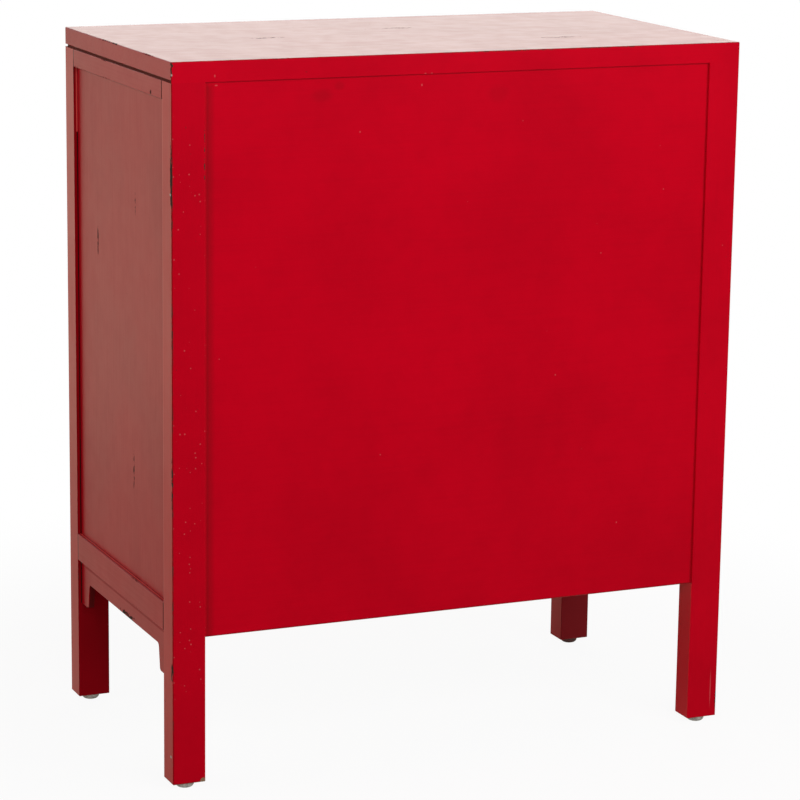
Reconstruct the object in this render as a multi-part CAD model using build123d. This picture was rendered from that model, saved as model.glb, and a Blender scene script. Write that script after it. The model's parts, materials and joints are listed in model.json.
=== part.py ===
from build123d import *
import math
import os

# Red lacquered entryway cabinet: two drawers over two doors, on four posts that run down as legs.
# The front faces -Y, +Z is up, and the origin is the bottom centre of the box round the whole cabinet.
# Left and right are those of a person who stands at the front. All lengths are in millimetres.

# Case
case_width = 763.0
case_depth = 412.5
total_height = 904.0

# Corner posts
post_width = 42.5
post_depth = 34.0
corner_ease = 1.5
arris_ease = 0.6
foot_bevel = 0.8

# Top slab
slab_thickness = 25.0
slab_ease = 1.5
shadow_height = 3.5
shadow_depth = 3.5
shadow_stop = 2.0

# Rails
rail_thickness = 25.0
rail_ease = 0.8
top_rail_height = 23.0
bottom_rail_low = 199.0
bottom_rail_height = 36.0
middle_rail_height = 24.0
drawer_opening_height = 112.0
front_rail_depth = 33.0
back_rail_depth = 20.0

# Mortises, tenons and grooves
tenon_thickness = 9.0
tenon_shoulder = 2.0
side_tenon_length = 20.0
mortise_wall = 4.0
groove_depth = 7.0
fit_gap = 0.1
overrun = 5.0

# Side panels and back panel
panel_recess = 5.0
panel_thickness = 9.0
back_panel_recess = 3.5
back_panel_thickness = 9.0
back_panel_low = 194.0
back_panel_ease = 2.0
slab_groove_depth = 5.0

# Aprons
apron_recess = 5.0
apron_thickness = 8.0
apron_low = 173.0
apron_foot = 139.0
arm_root_width = 33.0
arm_foot_width = 28.0
arm_root_radius = 6.0
arm_foot_radius = 4.5
apron_tongue = 5.0
apron_housing = 4.0

# Drawer divider
divider_width = 24.0
divider_tenon_length = 10.0
divider_tenon_width = 10.0

# Bottom board, shelf and cleats
board_drop = 22.0
board_thickness = 12.0
board_tongue = 6.0
shelf_rise = 242.0
shelf_thickness = 15.0
shelf_play = 1.0
shelf_front_gap = 8.0
cleat_width = 20.0
cleat_height = 15.0

# Drawer runners, guides, stops and kickers
runner_width = 22.0
runner_height = 18.0
runner_tenon_length = 8.0
guide_thickness = 18.0
guide_height = 30.0
kicker_width = 18.0
kicker_gap = 1.5
stop_height = 6.0
stop_width = 8.0
stop_length = 30.0
stop_inset = 40.0
stop_gap = 0.5

# Drawers
front_setback = 1.5
drawer_gap = 1.5
drawer_lift = 0.4
drawer_front_thickness = 20.0
drawer_side_thickness = 12.0
drawer_back_thickness = 12.0
drawer_bottom_thickness = 5.0
drawer_bottom_lift = 8.0
drawer_groove_depth = 5.0
drawer_side_drop = 4.0
drawer_back_gap = 33.0
dovetail_lap = 5.0
tail_count = 3
tail_end_share = 0.62
tail_slope_share = 0.12

# Doors
door_gap = 2.0
door_thickness = 20.0
stile_width = 45.0
door_rail_height = 50.0
door_panel_thickness = 7.0
door_panel_recess = 5.0
door_groove_depth = 8.0
door_tenon_length = 30.0
door_tenon_thickness = 7.0
door_tenon_shoulder = 8.0
front_ease = 1.0
door_stop_height = 8.0

# Butt hinges
hinge_height = 50.0
hinge_inset = 70.0
leaf_thickness = 1.2
leaf_width = 16.0
barrel_radius = 3.0
barrel_clearance = 0.3
pin_radius = 1.5
running_clearance = 0.05
knuckle_gap = 0.3
knuckle_count = 3
pin_head_radius = 2.4
pin_head_height = 2.0
pin_head_sides = 12
barrel_sides = 16
bore_sides = 10

# Ring pulls
rosette_radius = 9.0
rosette_thickness = 2.5
rosette_ease = 1.0
stem_radius = 3.2
turning_sides = 16
eye_radius = 5.2
eye_offset = 12.0
eye_hole_sides = 12
shank_radius = 2.5
shank_depth = 14.0
shank_sides = 12
ring_radius = 16.0
ring_wire_radius = 2.2
ring_segments = 32
ring_sides = 8
ring_play = 0.9
ball_tilts = (-45.0, -15.0, 15.0, 45.0)
ball_tip_share = 0.3
door_pull_rise = 28.0
drawer_pull_rise = 10.0

# Bullet catches over the doors
catch_radius = 4.0
catch_length = 12.0
catch_tip_radius = 2.4
catch_tip_show = 1.6
catch_sides = 16
catch_inset = 60.0

# Floor glides
glide_radius = 11.5
glide_height = 8.5
glide_ease = 4.0
glide_shoulder_share = 0.3
glide_sides = 28
glide_nail_radius = 1.1
glide_nail_length = 14.0
glide_nail_sides = 12

# Levels and faces that the pieces share
total_depth = case_depth + eye_offset + eye_radius - front_setback
half_width = case_width / 2
inner_x = half_width - post_width
back_y = total_depth / 2
front_y = back_y - case_depth
post_front_y = front_y + post_depth
post_back_y = back_y - post_depth
slab_low = total_height - slab_thickness
top_rail_low = slab_low - top_rail_height
bottom_rail_top = bottom_rail_low + bottom_rail_height
middle_rail_top = top_rail_low - drawer_opening_height
middle_rail_low = middle_rail_top - middle_rail_height
board_low = bottom_rail_top - board_drop
shelf_low = bottom_rail_top + shelf_rise
side_panel_x = half_width - panel_recess
side_rail_x = half_width - rail_thickness
side_tenon_x = half_width - (rail_thickness + tenon_thickness) / 2
cross_tenon_x = side_tenon_x - mortise_wall
apron_x = half_width - apron_recess
rail_back_y = front_y + front_rail_depth
back_panel_y = back_y - back_panel_recess
back_panel_front_y = back_panel_y - back_panel_thickness
back_rail_y = back_panel_front_y - back_rail_depth
divider_x = divider_width / 2
face_y = front_y + front_setback
drawer_low = middle_rail_top + drawer_lift
drawer_top = top_rail_low - drawer_gap
drawer_side_top = drawer_top - drawer_side_drop
drawer_bottom_low = drawer_low + drawer_bottom_lift
drawer_bottom_top = drawer_bottom_low + drawer_bottom_thickness
drawer_inner_x = divider_x + drawer_gap
drawer_outer_x = inner_x - drawer_gap
drawer_box_y = face_y + drawer_front_thickness
drawer_back_y = back_panel_front_y - drawer_back_gap
door_meeting_x = door_gap / 2
door_hinge_x = inner_x - door_gap
door_low = bottom_rail_top + door_gap
door_top = middle_rail_low - door_gap
door_back_y = face_y + door_thickness
pin_x = inner_x - door_gap / 2
pin_y = front_y - barrel_radius - barrel_clearance
hinge_levels = (door_low + hinge_inset, door_top - hinge_inset)
eye_y = face_y - eye_offset
door_pull_x = door_meeting_x + stile_width / 2
door_pull_height = (door_low + door_top) / 2 + door_pull_rise
drawer_pull_x = (drawer_inner_x + drawer_outer_x) / 2
drawer_pull_height = (drawer_low + drawer_top) / 2 + drawer_pull_rise


def block(limits):
    """A box from its limits: low and high x, low and high y, low and high z."""
    x0, x1, y0, y1, z0, z1 = limits
    middle = Pos((x0 + x1) / 2, (y0 + y1) / 2, (z0 + z1) / 2)
    return middle * Box(x1 - x0, y1 - y0, z1 - z0)


def grown(limits, by=fit_gap):
    """The limits of a box with a fit gap added all round, for the socket that takes it."""
    x0, x1, y0, y1, z0, z1 = limits
    return (x0 - by, x1 + by, y0 - by, y1 + by, z0 - by, z1 + by)


def both_ways(limits):
    """A box on the right and its twin on the left."""
    x0, x1, y0, y1, z0, z1 = limits
    return [block(limits), block((-x1, -x0, y0, y1, z0, z1))]


def left_of(shape):
    """The left-hand twin of a right-hand piece."""
    return mirror(shape, about=Plane.YZ)


def upright(x, y, radius, z0, z1):
    """A round bar that stands between two levels."""
    return Pos(x, y, (z0 + z1) / 2) * Cylinder(radius, z1 - z0)


def round_points(middle, radius, sides, along, up):
    """Points evenly round a circle, from its middle and its two directions."""
    turns = [2 * math.pi * i / sides for i in range(sides)]
    return [middle + (along * math.cos(turn) + up * math.sin(turn)) * radius for turn in turns]


def skinned(rings, endless):
    """A solid with flat sides between rings of points, its ends closed or joined to each other."""
    pairs = list(zip(rings, rings[1:]))
    if endless:
        pairs.append((rings[-1], rings[0]))
    flats = []
    for near, far in pairs:
        for i in range(len(near)):
            flats.append([near[i - 1], near[i], far[i], far[i - 1]])
    if not endless:
        flats += [rings[0], rings[-1]]
    return Solid(Shell([Face(Wire.make_polygon(corners)) for corners in flats]))


def lathed(profile, sides):
    """A turned piece along +Z, with flats in place of the round, from its heights and radii."""
    x_way, y_way = Vector(1, 0, 0), Vector(0, 1, 0)
    rings = [round_points(Vector(0, 0, height), radius, sides, x_way, y_way) for height, radius in profile]
    return skinned(rings, endless=False)


def drilled(radius, sides, z0, z1):
    """The way of a drill along +Z, with flats that clear the round bar that goes through."""
    return Pos(0, 0, z0) * extrude(RegularPolygon(radius, sides, major_radius=False), z1 - z0)


def long_edges_of_face(shape, axis, face_axis, last=True):
    """The edges of the outermost face along one axis that run along another axis."""
    face = shape.faces().sort_by(face_axis)[-1 if last else 0]
    return face.edges().filter_by(axis)


# Tenons of the case frame, on the right-hand side

def side_tenon_levels(low, high, groove_below, groove_above):
    """The levels between which a side rail's tenon lies, clear of the grooves in its edges."""
    return low + groove_below + tenon_shoulder, high - groove_above - tenon_shoulder


top_tenon_levels = side_tenon_levels(top_rail_low, slab_low, groove_depth, 0)
bottom_tenon_levels = side_tenon_levels(bottom_rail_low, bottom_rail_top, apron_tongue, groove_depth)


def side_tenon(levels, front):
    """The limits of a side rail's tenon at its front or back end."""
    y0 = post_front_y - side_tenon_length if front else post_back_y
    x0 = side_tenon_x
    return (x0, x0 + tenon_thickness, y0, y0 + side_tenon_length, levels[0], levels[1])


def cross_tenon(rail_y0, rail_y1, low, high):
    """The limits of the right-hand tenon of a rail that runs across the front or back."""
    y0 = (rail_y0 + rail_y1 - tenon_thickness) / 2
    return (inner_x, cross_tenon_x, y0, y0 + tenon_thickness, low + tenon_shoulder, high - tenon_shoulder)


front_top_tenon = cross_tenon(front_y, front_y + rail_thickness, top_rail_low, slab_low)
front_middle_tenon = cross_tenon(front_y, rail_back_y, middle_rail_low, middle_rail_top)
front_bottom_tenon = cross_tenon(front_y, rail_back_y, bottom_rail_low + apron_tongue, bottom_rail_top)
back_top_tenon = cross_tenon(back_rail_y, back_panel_front_y, top_rail_low, slab_low)
back_middle_tenon = cross_tenon(back_rail_y, back_panel_front_y, middle_rail_low, middle_rail_top)
back_bottom_tenon = cross_tenon(back_rail_y, back_panel_front_y, bottom_rail_low, bottom_rail_top)


# Panels

def side_panel_limits():
    """The right-hand side panel, with its edges in the grooves of posts and rails."""
    reach = groove_depth - fit_gap
    return (
        side_panel_x - panel_thickness,
        side_panel_x,
        post_front_y - reach,
        post_back_y + reach,
        bottom_rail_top - reach,
        top_rail_low + reach,
    )


def back_panel_limits():
    """The back panel, with its sides in the posts' grooves and its top in the slab's."""
    reach = groove_depth - fit_gap
    half = inner_x + reach
    top = slab_low + slab_groove_depth - fit_gap
    return (-half, half, back_panel_front_y, back_panel_y, back_panel_low, top)


def side_panel():
    return block(side_panel_limits())


def back_panel():
    """The back panel, rounded along the lower edge that shows."""
    panel = block(back_panel_limits())
    lower = panel.edges().filter_by(Axis.X).group_by(Axis.Z)[0].sort_by(Axis.Y)[-1]
    return fillet(lower, back_panel_ease)


# Aprons

def apron_outline(half_run):
    """An apron between two posts: a board with an arm down each leg, rounded at root and foot."""
    end = half_run + apron_housing - fit_gap
    root = half_run - arm_root_width
    foot = half_run - arm_foot_width
    top = bottom_rail_low + apron_tongue - fit_gap
    corners = [
        (-end, apron_foot),
        (-foot, apron_foot),
        (-root, apron_low),
        (root, apron_low),
        (foot, apron_foot),
        (end, apron_foot),
        (end, top),
        (-end, top),
    ]
    board = make_face(Polyline(*corners, close=True))
    roots = [v for v in board.vertices() if abs(v.Y - apron_low) < fit_gap]
    board = fillet(roots, arm_root_radius)
    feet = [v for v in board.vertices() if abs(v.Y - apron_foot) < fit_gap and abs(v.X) < half_run]
    return fillet(feet, arm_foot_radius)


def side_apron():
    """The right-hand apron, cut to its outline and set back from the posts' outer face."""
    middle = (post_front_y + post_back_y) / 2
    half_run = (post_back_y - post_front_y) / 2
    outline = Plane.YZ.offset(apron_x - apron_thickness) * apron_outline(half_run)
    return Pos(0, middle, 0) * extrude(outline, apron_thickness)


def front_apron():
    """The apron under the front bottom rail."""
    outline = Plane.XZ.offset(-(front_y + apron_recess + apron_thickness)) * apron_outline(inner_x)
    return extrude(outline, apron_thickness)


def side_apron_groove():
    """The groove that takes the right-hand apron, in both posts and in the bottom rail."""
    return (
        apron_x - apron_thickness,
        apron_x,
        post_front_y - apron_housing,
        post_back_y + apron_housing,
        apron_foot,
        bottom_rail_low + apron_tongue,
    )


def front_apron_groove():
    """The groove that takes the front apron, in both posts and in the bottom rail."""
    y0 = front_y + apron_recess
    end = inner_x + apron_housing
    return (-end, end, y0, y0 + apron_thickness, apron_foot, bottom_rail_low + apron_tongue)


# Butt hinges, on the right-hand side

def knuckle_levels(centre):
    """The low and high level of each knuckle of a hinge, from the lowest up."""
    pitch = hinge_height / knuckle_count
    low = centre - hinge_height / 2
    return [
        (low + i * pitch + knuckle_gap / 2, low + (i + 1) * pitch - knuckle_gap / 2)
        for i in range(knuckle_count)
    ]


def leaf_plate(centre, on_case):
    """The limits of a hinge leaf's flat plate, let into the post or the door's edge."""
    x0 = inner_x if on_case else door_hinge_x - leaf_thickness
    y0 = front_y if on_case else face_y
    half = hinge_height / 2
    return (x0, x0 + leaf_thickness, y0, front_y + leaf_width, centre - half, centre + half)


def hinge_leaf(centre, on_case):
    """A hinge leaf: its plate, and the knuckles at every second place that turn on the pin."""
    plate = leaf_plate(centre, on_case)
    leaf = block(plate)
    for z0, z1 in knuckle_levels(centre)[0 if on_case else 1::2]:
        leaf += block((plate[0], plate[1], pin_y, plate[2] + leaf_thickness, z0, z1))
        leaf += Pos(pin_x, pin_y, 0) * lathed([(z0, barrel_radius), (z1, barrel_radius)], barrel_sides)
    half = hinge_height / 2 + overrun
    bore = drilled(pin_radius + running_clearance, bore_sides, centre - half, centre + half)
    return leaf - Pos(pin_x, pin_y, 0) * bore


def hinge_pin(centre):
    """A hinge pin with a button head at each end."""
    low, high = knuckle_levels(centre)[0][0], knuckle_levels(centre)[-1][1]
    pin = upright(pin_x, pin_y, pin_radius, low, high)
    for seat, tip in ((high, high + pin_head_height), (low, low - pin_head_height)):
        head = lathed([(seat, pin_head_radius), (tip, pin_radius)], pin_head_sides)
        pin += Pos(pin_x, pin_y, 0) * head
    return pin


def hinge_set(maker):
    """One hinge piece for every hinge of the cabinet, as separate solids."""
    right = [maker(level) for level in hinge_levels]
    return Compound(right + [left_of(piece) for piece in right])


# Posts and slab

def post_centre(front):
    """Where the middle of a right-hand post stands."""
    y = front_y + post_depth / 2 if front else back_y - post_depth / 2
    return half_width - post_width / 2, y


def post_blank(front):
    """A post before its joints are cut: bevelled at the foot, with its long edges eased."""
    y0 = front_y if front else post_back_y
    blank = block((inner_x, half_width, y0, y0 + post_depth, glide_height, slab_low))
    blank = chamfer(blank.faces().sort_by(Axis.Z)[0].edges(), foot_bevel)
    outside = front_y if front else back_y
    corner = [
        e
        for e in blank.edges().filter_by(Axis.Z)
        if e.center().X > inner_x + fit_gap and abs(e.center().Y - outside) < fit_gap
    ]
    blank = fillet(corner, corner_ease)
    inner = [
        e
        for e in blank.edges().filter_by(Axis.Z)
        if e.center().X < inner_x + fit_gap or abs(e.center().Y - outside) > post_depth - fit_gap
    ]
    return chamfer(inner, arris_ease)


def side_sockets(front):
    """The sockets of a right-hand post for the side frame."""
    limits = [
        grown(side_tenon(top_tenon_levels, front)),
        grown(side_tenon(bottom_tenon_levels, front)),
        grown(side_panel_limits()),
        side_apron_groove(),
    ]
    return [block(one) for one in limits]


def post(front):
    """A right-hand post, with the mortises, grooves and recesses that its neighbours need."""
    x, y = post_centre(front)
    solid = post_blank(front)
    sockets = side_sockets(front)
    if front:
        tenons = [front_top_tenon, front_middle_tenon, front_bottom_tenon]
        sockets.append(block(front_apron_groove()))
        sockets += [block(grown(leaf_plate(level, True))) for level in hinge_levels]
    else:
        tenons = [back_top_tenon, back_middle_tenon, back_bottom_tenon]
        sockets.append(block(grown(back_panel_limits())))
    sockets += [block(grown(tenon)) for tenon in tenons]
    nail_top = glide_height + glide_nail_length + fit_gap
    sockets.append(upright(x, y, glide_nail_radius + fit_gap, 0, nail_top))
    for socket in sockets:
        solid -= socket
    return solid


def top_slab():
    """The slab: shadow grooves under both ends, stopped at the back, and a groove for the back panel."""
    slab = block((-half_width, half_width, front_y, back_y, slab_low, total_height))
    slab = fillet(slab.edges().filter_by(Axis.Z), slab_ease)
    slab = fillet(slab.faces().sort_by(Axis.Z)[-1].edges(), slab_ease)
    under_end = (
        half_width - shadow_depth,
        half_width + overrun,
        front_y - overrun,
        back_y - shadow_stop,
        slab_low - overrun,
        slab_low + shadow_height,
    )
    for groove in both_ways(under_end):
        slab -= groove
    return slab - block(grown(back_panel_limits()))


# Rails

def side_rail(low, high, tenon_levels):
    """A right-hand side rail with a tenon at each end, eased along its outer edges."""
    rail = block((side_rail_x, half_width, post_front_y, post_back_y, low, high))
    rail = chamfer(long_edges_of_face(rail, Axis.Y, Axis.X), rail_ease)
    for front in (True, False):
        rail += block(side_tenon(tenon_levels, front))
    return rail - block(grown(side_panel_limits()))


def side_top_rail():
    return side_rail(top_rail_low, slab_low, top_tenon_levels)


def side_bottom_rail():
    """The lower side rail, which also takes the apron's tongue and the bottom board."""
    rail = side_rail(bottom_rail_low, bottom_rail_top, bottom_tenon_levels)
    rail -= block(side_apron_groove())
    return rail - block(grown(board_main()))


def cross_rail(y0, y1, low, high, tenon):
    """A rail across the front or back, with a tenon at each end."""
    rail = block((-inner_x, inner_x, y0, y1, low, high))
    rail = chamfer(long_edges_of_face(rail, Axis.X, Axis.Y, last=y0 > 0), rail_ease)
    for piece in both_ways(tenon):
        rail += piece
    return rail


def front_top_rail():
    """The rail over the drawers, with a mortise for the divider."""
    rail = cross_rail(front_y, front_y + rail_thickness, top_rail_low, slab_low, front_top_tenon)
    return rail - block(grown(divider_tenon(top_rail_low)))


def front_middle_rail():
    """The rail between drawers and doors, with drawer stops on it and a door stop behind the doors."""
    rail = cross_rail(front_y, rail_back_y, middle_rail_low, middle_rail_top, front_middle_tenon)
    stop_y = door_back_y + stop_gap
    lip_low = middle_rail_low - door_stop_height
    rail += block((-inner_x, inner_x, stop_y, rail_back_y, lip_low, middle_rail_low))
    stop_y = drawer_box_y + stop_gap
    stop_top = middle_rail_top + stop_height
    for x0 in (drawer_inner_x + stop_inset, drawer_outer_x - stop_inset - stop_length):
        stop = (x0, x0 + stop_length, stop_y, stop_y + stop_width, middle_rail_top, stop_top)
        for piece in both_ways(stop):
            rail += piece
    rail -= block(grown(divider_tenon(middle_rail_top - divider_tenon_length)))
    for tenon in runner_tenons(rail_back_y - runner_tenon_length):
        rail -= block(grown(tenon))
    top = middle_rail_low + catch_length + fit_gap
    for x in (-catch_inset, catch_inset):
        rail -= upright(x, catch_y, catch_radius + fit_gap, middle_rail_low - overrun, top)
    return rail


def front_bottom_rail():
    """The rail under the doors, which takes the apron's tongue and the bottom board."""
    rail = cross_rail(front_y, rail_back_y, bottom_rail_low, bottom_rail_top, front_bottom_tenon)
    rail -= block(front_apron_groove())
    return rail - block(grown(board_tongues()))


def back_rail(low, high, tenon):
    return cross_rail(back_rail_y, back_panel_front_y, low, high, tenon)


def back_top_rail():
    return back_rail(top_rail_low, slab_low, back_top_tenon)


def back_middle_rail():
    """The hidden rail that carries the back ends of the drawer runners."""
    rail = back_rail(middle_rail_low, middle_rail_top, back_middle_tenon)
    for tenon in runner_tenons(back_rail_y):
        rail -= block(grown(tenon))
    return rail


def back_bottom_rail():
    rail = back_rail(bottom_rail_low, bottom_rail_top, back_bottom_tenon)
    return rail - block(grown(board_tongues()))


def divider_tenon(low):
    """The limits of the drawer divider's upper or lower tenon."""
    half = divider_tenon_width / 2
    y0 = front_y + (rail_thickness - tenon_thickness) / 2
    return (-half, half, y0, y0 + tenon_thickness, low, low + divider_tenon_length)


def drawer_divider():
    """The upright between the two drawer openings."""
    upright_block = block(
        (-divider_x, divider_x, front_y, front_y + rail_thickness, middle_rail_top, top_rail_low)
    )
    front_edges = long_edges_of_face(upright_block, Axis.Z, Axis.Y, last=False)
    divider = chamfer(front_edges, rail_ease)
    for low in (top_rail_low, middle_rail_top - divider_tenon_length):
        divider += block(divider_tenon(low))
    return divider


# Bottom board, shelf and cleats

def board_main():
    """The bottom board between the posts, out to its tongues in the side rails."""
    half = side_rail_x + board_tongue - fit_gap
    y0 = post_front_y + fit_gap
    y1 = post_back_y - fit_gap
    return (-half, half, y0, y1, board_low, board_low + board_thickness)


def board_tongues():
    """The bottom board between the left and right posts, out to its front and back tongues."""
    half = inner_x - fit_gap
    y0 = rail_back_y - board_tongue + fit_gap
    y1 = back_rail_y + board_tongue - fit_gap
    return (-half, half, y0, y1, board_low, board_low + board_thickness)


def bottom_board():
    return block(board_main()) + block(board_tongues())


def shelf():
    """The loose shelf, eased along its front edge, which lies on the cleats."""
    half = inner_x - shelf_play
    y0 = door_back_y + shelf_front_gap
    y1 = back_panel_front_y - shelf_play
    board = block((-half, half, y0, y1, shelf_low, shelf_low + shelf_thickness))
    return chamfer(long_edges_of_face(board, Axis.X, Axis.Y, last=False), front_ease)


def shelf_cleats():
    """A cleat on the inner faces of each pair of posts."""
    y0 = door_back_y + shelf_front_gap
    cleat = (inner_x - cleat_width, inner_x, y0, back_panel_front_y, shelf_low - cleat_height, shelf_low)
    return Compound(both_ways(cleat))


# Drawer runners and kickers

def runner_tenons(y0):
    """The limits of the stub tenons of the three runners that start at one depth."""
    low = middle_rail_top - (runner_height + tenon_thickness) / 2
    high = low + tenon_thickness
    y1 = y0 + runner_tenon_length
    outer = inner_x - runner_width + tenon_shoulder
    centre = divider_x
    return [
        (outer, inner_x - tenon_shoulder, y0, y1, low, high),
        (-centre, centre, y0, y1, low, high),
        (-inner_x + tenon_shoulder, -outer, y0, y1, low, high),
    ]


def drawer_runners():
    """Two outer runners with side guides, and a centre runner with a guide between the drawers."""
    low = middle_rail_top - runner_height
    guide_top = middle_rail_top + guide_height
    outer = block((inner_x - runner_width, inner_x, rail_back_y, back_rail_y, low, middle_rail_top))
    outer += block((inner_x, inner_x + guide_thickness, post_front_y, post_back_y, low, guide_top))
    half = divider_x + runner_width
    centre = block((-half, half, rail_back_y, back_rail_y, low, middle_rail_top))
    centre += block((-divider_x, divider_x, rail_back_y, back_rail_y, middle_rail_top, guide_top))
    ends = [rail_back_y - runner_tenon_length, back_rail_y]
    for y0 in ends:
        right, middle, _ = runner_tenons(y0)
        outer += block(right)
        centre += block(middle)
    return [outer, left_of(outer), centre]


def drawer_kickers():
    """Battens under the slab that keep an open drawer from tipping."""
    low = drawer_side_top + kicker_gap
    y0 = front_y + rail_thickness
    outer = both_ways((inner_x - kicker_width, inner_x, y0, back_rail_y, low, slab_low))
    half = divider_x + kicker_width
    return outer + [block((-half, half, y0, back_rail_y, low, slab_low))]


def drawer_runners_and_kickers():
    return Compound(drawer_runners() + drawer_kickers())


# Bullet catches

catch_y = face_y + door_thickness / 2


def bullet_catch():
    """A tube let into the middle rail, with the sprung tip that shows below it."""
    profile = [
        (middle_rail_low - catch_tip_show, catch_tip_radius / 2),
        (middle_rail_low - catch_tip_show / 2, catch_tip_radius),
        (middle_rail_low, catch_tip_radius),
        (middle_rail_low, catch_radius),
        (middle_rail_low + catch_length, catch_radius),
    ]
    return Pos(catch_inset, catch_y, 0) * lathed(profile, catch_sides)


def door_catches():
    catch = bullet_catch()
    return Compound([catch, left_of(catch)])


# Floor glides

def floor_glide(front):
    """A nail-on glide, domed towards the floor."""
    x, y = post_centre(front)
    shoulder = glide_ease * glide_shoulder_share
    profile = [(0, glide_radius - glide_ease), (shoulder, glide_radius - shoulder)]
    profile += [(glide_ease, glide_radius), (glide_height, glide_radius)]
    nail_top = glide_height + glide_nail_length
    nail = lathed([(glide_height, glide_nail_radius), (nail_top, glide_nail_radius)], glide_nail_sides)
    return Pos(x, y, 0) * (lathed(profile, glide_sides) + nail)


def floor_glides():
    right = [floor_glide(True), floor_glide(False)]
    return Compound(right + [left_of(glide) for glide in right])


# Ring pulls

def pull_post(x, z):
    """A turned brass post: rosette, waisted stem, ball with a cross hole, and a shank in the wood."""
    rim = rosette_radius - rosette_ease
    waist = (rosette_thickness + eye_offset - eye_radius) / 2
    profile = [
        (0, rosette_radius),
        (rosette_thickness - rosette_ease, rosette_radius),
        (rosette_thickness - rosette_ease / 2, rim),
        (rosette_thickness, stem_radius + rosette_ease),
        (waist, stem_radius - rosette_ease / 2),
        (eye_offset - eye_radius, stem_radius),
    ]
    ball_rows = [math.radians(tilt) for tilt in ball_tilts]
    profile += [(eye_offset + eye_radius * math.sin(t), eye_radius * math.cos(t)) for t in ball_rows]
    profile.append((eye_offset + eye_radius, eye_radius * ball_tip_share))
    turned = lathed(profile, turning_sides)
    turned += lathed([(-shank_depth, shank_radius), (0, shank_radius)], shank_sides)
    reach = eye_radius + overrun
    hole = drilled(ring_wire_radius + ring_play, eye_hole_sides, -reach, reach)
    turned -= Pos(0, 0, eye_offset) * Rot(0, 90, 0) * hole
    return Pos(x, face_y, z) * Rot(90, 0, 0) * turned


def pull_hole(x, z):
    """The hole in the wood for a pull's shank."""
    length = shank_depth + overrun
    middle = face_y - overrun + (length + fit_gap) / 2
    return Pos(x, middle, z) * Rot(90, 0, 0) * Cylinder(shank_radius + fit_gap, length + fit_gap)


def wire_ring():
    """A ring of round wire in the XZ plane, with flats in place of the round."""
    x_way, y_way, z_way = Vector(1, 0, 0), Vector(0, 1, 0), Vector(0, 0, 1)
    rings = []
    for middle in round_points(Vector(0, 0, 0), ring_radius, ring_segments, x_way, z_way):
        rings.append(round_points(middle, ring_wire_radius, ring_sides, middle.normalized(), y_way))
    return skinned(rings, endless=True)


def pull_ring(x, z):
    """The ring, hanging straight down from the hole in the post's ball."""
    return Pos(x, eye_y, z - ring_radius) * wire_ring()


# Doors, the right-hand one

def door_groove():
    """The space that the door's panel takes, with its edges in the frame."""
    reach = door_groove_depth - fit_gap
    y0 = face_y + door_panel_recess
    return (
        door_meeting_x + stile_width - reach,
        door_hinge_x - stile_width + reach,
        y0,
        y0 + door_panel_thickness,
        door_low + door_rail_height - reach,
        door_top - door_rail_height + reach,
    )


def door_tenon(top, meeting):
    """The limits of one tenon of the door's top or bottom rail."""
    inner = door_groove_depth + tenon_shoulder
    low = door_top - door_rail_height + inner if top else door_low + door_tenon_shoulder
    high = low + door_rail_height - inner - door_tenon_shoulder
    shoulder = door_meeting_x + stile_width if meeting else door_hinge_x - stile_width
    x0 = shoulder - door_tenon_length if meeting else shoulder
    y0 = face_y + (door_thickness - door_tenon_thickness) / 2
    return (x0, x0 + door_tenon_length, y0, y0 + door_tenon_thickness, low, high)


def door_panel():
    return block(door_groove())


def door_stile(meeting):
    """A door stile, mortised and grooved, with its front edges eased."""
    x0 = door_meeting_x if meeting else door_hinge_x - stile_width
    stile = block((x0, x0 + stile_width, face_y, door_back_y, door_low, door_top))
    stile = chamfer(long_edges_of_face(stile, Axis.Z, Axis.Y, last=False), front_ease)
    sockets = [block(grown(door_tenon(top, meeting))) for top in (True, False)]
    sockets.append(block(grown(door_groove())))
    if meeting:
        sockets.append(pull_hole(door_pull_x, door_pull_height))
    else:
        sockets += [block(grown(leaf_plate(level, False))) for level in hinge_levels]
    for socket in sockets:
        stile -= socket
    return stile


def door_rail(top):
    """A door rail with its tenons."""
    low = door_top - door_rail_height if top else door_low
    x0 = door_meeting_x + stile_width
    x1 = door_hinge_x - stile_width
    rail = block((x0, x1, face_y, door_back_y, low, low + door_rail_height))
    rail = chamfer(long_edges_of_face(rail, Axis.X, Axis.Y, last=False), front_ease)
    for meeting in (True, False):
        rail += block(door_tenon(top, meeting))
    return rail - block(grown(door_groove()))


def door_hinge_leaves():
    return Compound([hinge_leaf(level, False) for level in hinge_levels])


# Drawers, the right-hand one

def tails(x0, x1, y_root, y_end, low, high):
    """A row of dovetails that widen from root to end."""
    pitch = (high - low) / tail_count
    half_end = pitch * tail_end_share / 2
    half_root = half_end - abs(y_end - y_root) * tail_slope_share
    row = []
    for i in range(tail_count):
        z = low + (i + 1 / 2) * pitch
        outline = Polyline(
            (y_root, z - half_root),
            (y_end, z - half_end),
            (y_end, z + half_end),
            (y_root, z + half_root),
            close=True,
        )
        row.append(extrude(Plane.YZ.offset(x0) * make_face(outline), x1 - x0))
    return row


def drawer_bottom_limits():
    """The drawer bottom, in the grooves of the sides and front and under the back."""
    reach = drawer_groove_depth - fit_gap
    x0 = drawer_inner_x + drawer_side_thickness - reach
    x1 = drawer_outer_x - drawer_side_thickness + reach
    return (x0, x1, drawer_box_y - reach, drawer_back_y, drawer_bottom_low, drawer_bottom_top)


def drawer_tails(inner):
    """The lapped dovetails at the front and the through dovetails at the back of one side."""
    x0 = drawer_inner_x if inner else drawer_outer_x - drawer_side_thickness
    x1 = x0 + drawer_side_thickness
    back_root = drawer_back_y - drawer_back_thickness
    front = tails(x0, x1, drawer_box_y, face_y + dovetail_lap, drawer_low, drawer_side_top)
    return front + tails(x0, x1, back_root, drawer_back_y, drawer_bottom_top, drawer_side_top)


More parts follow.
